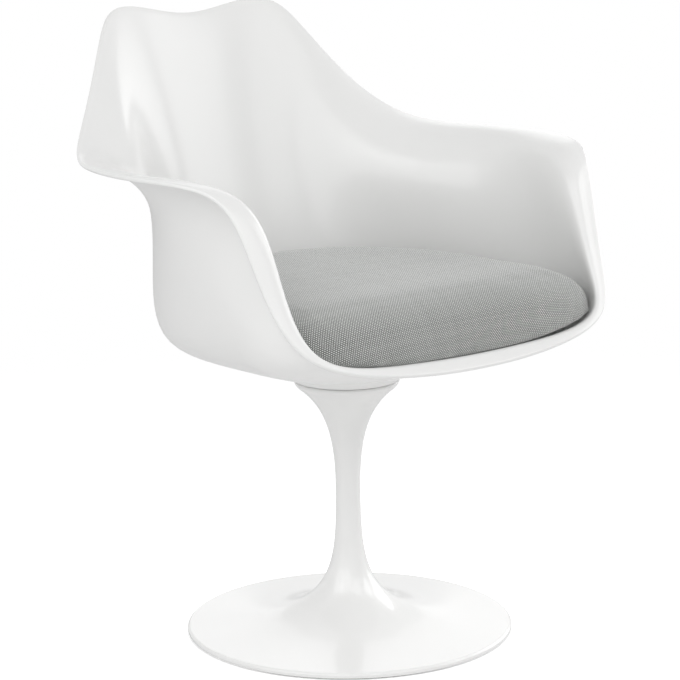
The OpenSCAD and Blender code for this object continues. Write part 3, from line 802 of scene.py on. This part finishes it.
class ARMCHAIR_OT_pedestal(bpy.types.Operator):
    """Turns the trumpet pedestal with its round foot, cup, bores and hollow"""

    bl_idname = "armchair.pedestal"
    bl_label = "Trumpet pedestal"

    def execute(self, context):
        sizes = context.scene.armchair_pedestal
        span = np.array([sizes.foot_radius, sizes.seam_height])
        mouth_z = sizes.seam_height - sizes.seam_gap
        top_bevel = 1.6 * MM
        cup_mouth, cup_floor, cup_floor_z = 60 * MM, 40 * MM, 316 * MM
        slack, rim_width, roof_step = 0.05 * MM, 3 * MM, 1 * MM
        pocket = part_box("lower_race")[1].x + slack
        seat_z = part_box("lower_race")[0].z
        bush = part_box("upper_bush")[1].x
        upper_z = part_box("upper_bush")[0].z
        lower_top_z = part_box("lower_bush")[1].z
        bore = 10.8 * MM
        roof_r, roof_z = 17 * MM, 96 * MM
        glide_in, glide_out = 203 * MM, 209 * MM
        glide_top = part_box("glide_ring")[1].z
        stem = smooth_curve(
            [(sizes.foot_radius - sizes.foot_bevel, sizes.foot_edge)]
            + [tuple(np.array(p) * span) for p in STEM_SHARES]
            + [(sizes.seam_radius, mouth_z - top_bevel)], sizes.steps_up)
        hollow = smooth_curve(
            [(glide_in - rim_width, sizes.foot_lift)]
            + [tuple(np.array(p) * span) for p in HOLLOW_SHARES]
            + [(roof_r, roof_z - roof_step)], sizes.steps_up)
        outline = [(glide_out, sizes.foot_lift), (sizes.foot_radius, sizes.foot_lift),
                   (sizes.foot_radius, sizes.foot_edge - sizes.foot_bevel)]
        outline += [tuple(p) for p in stem]
        outline += [(sizes.seam_radius - top_bevel, mouth_z), (cup_mouth, mouth_z),
                    (cup_floor, cup_floor_z), (pocket, cup_floor_z), (pocket, seat_z),
                    (bush, seat_z), (bush, upper_z), (bore, upper_z), (bore, lower_top_z),
                    (bush, lower_top_z), (bush, roof_z), (roof_r, roof_z)]
        outline += [tuple(p) for p in hollow[::-1]]
        outline += [(glide_in, sizes.foot_lift), (glide_in, glide_top), (glide_out, glide_top)]
        pedestal = ring_object("trumpet_pedestal", lathed(outline, sizes.steps_round),
                               smooth_angle=math.radians(30))
        rounded(pedestal, sizes.edge_round)
        wear(pedestal, coated_casting(context.scene.armchair_finish))
        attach(pedestal, "pedestal")
        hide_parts("pedestal_base")
        return {"FINISHED"}


class ARMCHAIR_OT_collar(bpy.types.Operator):
    """Turns the swivel collar between the seam and the shell"""

    bl_idname = "armchair.collar"
    bl_label = "Swivel collar"

    def execute(self, context):
        sizes = context.scene.armchair_pedestal
        low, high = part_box("swivel_collar")
        band = 1.5 * MM
        skirt, ledge = 62 * MM, 50 * MM
        plate_lap = 3 * MM
        seam_out, seam_up = 1.8 * MM, 3.5 * MM
        neck_in, neck_down = 2.4 * MM, 3 * MM
        ledge_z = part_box("swivel_plate")[1].z - plate_lap
        flare = smooth_curve([(sizes.seam_radius, low.z),
                              (sizes.seam_radius + seam_out, low.z + seam_up),
                              (high.x - neck_in, high.z - band - neck_down),
                              (high.x, high.z - band)], steps=5)
        outline = [tuple(p) for p in flare]
        outline += [(high.x, high.z), (ledge, high.z), (ledge, ledge_z), (skirt, ledge_z),
                    (skirt, low.z)]
        collar = ring_object("swivel_collar_ring", lathed(outline, sizes.steps_round),
                             smooth_angle=math.radians(30))
        rounded(collar, sizes.edge_round / 2)
        wear(collar, coated_casting(context.scene.armchair_finish))
        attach(collar, "seat")
        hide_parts("swivel_collar")
        return {"FINISHED"}


class ARMCHAIR_OT_pads(bpy.types.Operator):
    """Cuts the hook and loop pads that keep the cushion in place"""

    bl_idname = "armchair.pads"
    bl_label = "Hook and loop pads"

    def execute(self, context):
        kinds = (("hook_pads", pad_nylon("Hook tape", "0C0C0D", "1D1D1F", 1.2 * MM)),
                 ("loop_pads", pad_nylon("Loop tape", "2A2B2D", "4B4C4F", 0.7 * MM)))
        count, radius, edge = 4, 12 * MM, 0.3 * MM
        for node, tape in kinds:
            low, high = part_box(node)
            pitch = high.x - radius
            outline = [(radius - edge, low.z), (radius, low.z + edge), (radius, high.z - edge),
                       (radius - edge, high.z), (radius / 2, high.z)]
            disc = np.array(lathed(outline, columns=48))
            for number in range(count):
                turn = number * 2 * math.pi / count
                shift = (pitch * math.cos(turn), pitch * math.sin(turn), 0)
                pad = capped_object(f"{node}_{number + 1}", disc + shift)
                wear(pad, tape)
                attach(pad, "seat")
                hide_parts(node)
        return {"FINISHED"}


class ARMCHAIR_OT_swivel(bpy.types.Operator):
    """Gives the bearing, bushes, spindle, plates, screws and board their finishes"""

    bl_idname = "armchair.swivel"
    bl_label = "Swivel parts"

    def execute(self, context):
        finishes = (
            (plated_steel(), 0.3 * MM, ("spindle", "swivel_plate", "hub_plate", "seat_screws",
                                        "retaining_washer", "spring_washer", "retaining_bolt")),
            (bearing_steel(), 0.15 * MM, ("lower_race", "upper_race")),
            (bearing_steel(), 0, ("bearing_balls",)),
            (cage_brass(), 0, ("ball_cage",)),
            (turned_nylon(), 0.3 * MM, ("upper_bush", "lower_bush")),
            (glide_plastic(), 0, ("glide_ring",)),
            (board_plywood(), 0, ("cushion_board",)))
        for material, edge, nodes in finishes:
            for name in nodes:
                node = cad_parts[name]
                for slot in node.material_slots:
                    slot.material = material
                if edge:
                    rounded(node, edge, segments=2)
        return {"FINISHED"}


class ARMCHAIR_OT_stage(bpy.types.Operator):
    """Sets the floor, the soft light and the camera"""

    bl_idname = "armchair.stage"
    bl_label = "Stage"

    def execute(self, context):
        stage = context.scene.armchair_stage
        self.camera(context, stage)
        self.floor(stage)
        self.world(context, stage)
        self.lamps()
        context.scene.view_settings.view_transform = "Standard"
        return {"FINISHED"}

    def camera(self, context, stage):
        data = bpy.data.cameras.new("Camera")
        data.sensor_width = 36
        data.lens = stage.lens
        camera = bpy.data.objects.new("Camera", data)
        context.scene.collection.objects.link(camera)
        camera.matrix_world = (
            Matrix.Rotation(stage.azimuth, 4, "Z")
            @ Matrix.Translation((0, -stage.distance, stage.eye_height))
            @ Matrix.Rotation(-stage.yaw, 4, "Z")
            @ Matrix.Rotation(math.pi / 2 - stage.pitch, 4, "X")
            @ Matrix.Rotation(stage.roll, 4, "Z"))
        context.scene.camera = camera

    def floor(self, stage):
        """White paper under the chair. It keeps the chair's shadow, is lifted to white for the
        camera where nothing shades it, and fades into the white round it."""
        size = 2 * stage.floor_reach
        corners = [(x * size, y * size, 0) for x, y in ((-1, -1), (1, -1), (1, 1), (-1, 1))]
        floor = mesh_object("studio_floor", corners, [(0, 1, 2, 3)])
        material = bpy.data.materials.new("White paper floor")
        material.use_nodes = True
        tree = material.node_tree
        output = tree.nodes["Material Output"]
        paper = tree.nodes["Principled BSDF"]
        paper.inputs["Base Color"].default_value = linear("F4F4F4")
        paper.inputs["Roughness"].default_value = 0.9
        seen = add_node(tree, "ShaderNodeLightPath").outputs["Is Camera Ray"]
        lift = add_node(tree, "ShaderNodeMath", {"operation": "MULTIPLY"}, {
            0: seen, 1: stage.floor_lift})
        glow = add_node(tree, "ShaderNodeEmission", inputs={"Strength": lift.outputs[0]})
        both = add_node(tree, "ShaderNodeAddShader", inputs={
            0: paper.outputs[0], 1: glow.outputs[0]})
        reach = add_node(tree, "ShaderNodeVectorMath", {"operation": "LENGTH"}, {0: place(tree)})
        fade = add_node(tree, "ShaderNodeMapRange", {"interpolation_type": "SMOOTHSTEP"}, {
            "Value": reach.outputs["Value"], "From Min": stage.floor_reach / 3,
            "From Max": stage.floor_reach})
        faded = add_node(tree, "ShaderNodeMath", {"operation": "MULTIPLY"}, {
            0: fade.outputs["Result"], 1: seen})
        clear = add_node(tree, "ShaderNodeBsdfTransparent")
        ending = add_node(tree, "ShaderNodeMixShader", inputs={
            0: faded.outputs[0], 1: both.outputs[0], 2: clear.outputs[0]})
        tree.links.new(ending.outputs[0], output.inputs["Surface"])
        wear(floor, material)

    def world(self, context, stage):
        """Even light from all round, which cameras, mirrors and glass see as white."""
        world = bpy.data.worlds.new("White studio")
        context.scene.world = world
        world.use_nodes = True
        tree = world.node_tree
        lit = tree.nodes["Background"]
        lit.inputs["Color"].default_value = linear("FFFFFF")
        rays = add_node(tree, "ShaderNodeLightPath").outputs
        mirrors = add_node(tree, "ShaderNodeMath", {"operation": "MAXIMUM"}, {
            0: rays["Is Glossy Ray"], 1: rays["Is Transmission Ray"]})
        seen = add_node(tree, "ShaderNodeMath", {"operation": "MAXIMUM"}, {
            0: rays["Is Camera Ray"], 1: mirrors.outputs[0]})
        strength = add_node(tree, "ShaderNodeMapRange", inputs={
            "Value": seen.outputs[0], "To Min": stage.world_light, "To Max": 1.0})
        tree.links.new(strength.outputs["Result"], lit.inputs["Strength"])

    def lamps(self):
        """Soft boxes: (name, place, size, watts), each aimed at the seat. The rear one stands
        opposite the camera, where the polished foot mirrors it on both sides of the stem."""
        boxes = (("Front box", (0.0, -2.2, 2.2), 1.6, 8),
                 ("Near box", (-1.9, -1.5, 2.0), 2.2, 17),
                 ("Far box", (1.9, -1.6, 1.7), 1.15, 9),
                 ("Left box", (-2.5, 0.0, 1.7), 1.8, 12),
                 ("Right box", (2.7, 0.0, 1.2), 1.8, 18),
                 ("Rear box", (1.6, 2.1, 1.3), 1.5, 2.5))
        target = Vector((0, 0, 0.4))
        for name, spot, size, power in boxes:
            data = bpy.data.lights.new(name, "AREA")
            data.shape = "SQUARE"
            data.size = size
            data.energy = power
            lamp = bpy.data.objects.new(name, data)
            bpy.context.scene.collection.objects.link(lamp)
            lamp.location = spot
            lamp.rotation_euler = (target - Vector(spot)).to_track_quat("-Z", "Y").to_euler()


class ARMCHAIR_PT_panel(bpy.types.Panel):
    """Lists the chair's pieces and the stage"""

    bl_idname = "ARMCHAIR_PT_panel"
    bl_label = "Pedestal swivel armchair"
    bl_space_type = "VIEW_3D"
    bl_region_type = "UI"
    bl_category = "Armchair"

    def draw(self, context):
        for operator in OPERATORS:
            self.layout.operator(operator.bl_idname)
        for settings, title in ((context.scene.armchair_shell, "Shell"),
                                (context.scene.armchair_pedestal, "Pedestal"),
                                (context.scene.armchair_cushion, "Cushion"),
                                (context.scene.armchair_finish, "Finishes"),
                                (context.scene.armchair_stage, "Stage")):
            box = self.layout.box()
            box.label(text=title)
            for name in settings.__annotations__:
                box.prop(settings, name)


GROUPS = (ShellSizes, PedestalSizes, CushionSizes, Finishes, StageSizes)
OPERATORS = (ARMCHAIR_OT_stage, ARMCHAIR_OT_shell, ARMCHAIR_OT_collar, ARMCHAIR_OT_pedestal,
             ARMCHAIR_OT_swivel, ARMCHAIR_OT_pads, ARMCHAIR_OT_cushion)


def register():
    """Adds the settings, the operators and the panel."""
    for kind in GROUPS + OPERATORS + (ARMCHAIR_PT_panel,):
        bpy.utils.register_class(kind)
    bpy.types.Scene.armchair_shell = PointerProperty(type=ShellSizes)
    bpy.types.Scene.armchair_pedestal = PointerProperty(type=PedestalSizes)
    bpy.types.Scene.armchair_cushion = PointerProperty(type=CushionSizes)
    bpy.types.Scene.armchair_finish = PointerProperty(type=Finishes)
    bpy.types.Scene.armchair_stage = PointerProperty(type=StageSizes)


def unregister():
    """Takes them out again."""
    for name in ("shell", "pedestal", "cushion", "finish", "stage"):
        delattr(bpy.types.Scene, f"armchair_{name}")
    for kind in reversed(GROUPS + OPERATORS + (ARMCHAIR_PT_panel,)):
        bpy.utils.unregister_class(kind)


def main():
    """Builds every piece and the stage."""
    register()
    for operator in OPERATORS:
        family, name = operator.bl_idname.split(".")
        getattr(getattr(bpy.ops, family), name)()


if __name__ == "__main__":
    main()
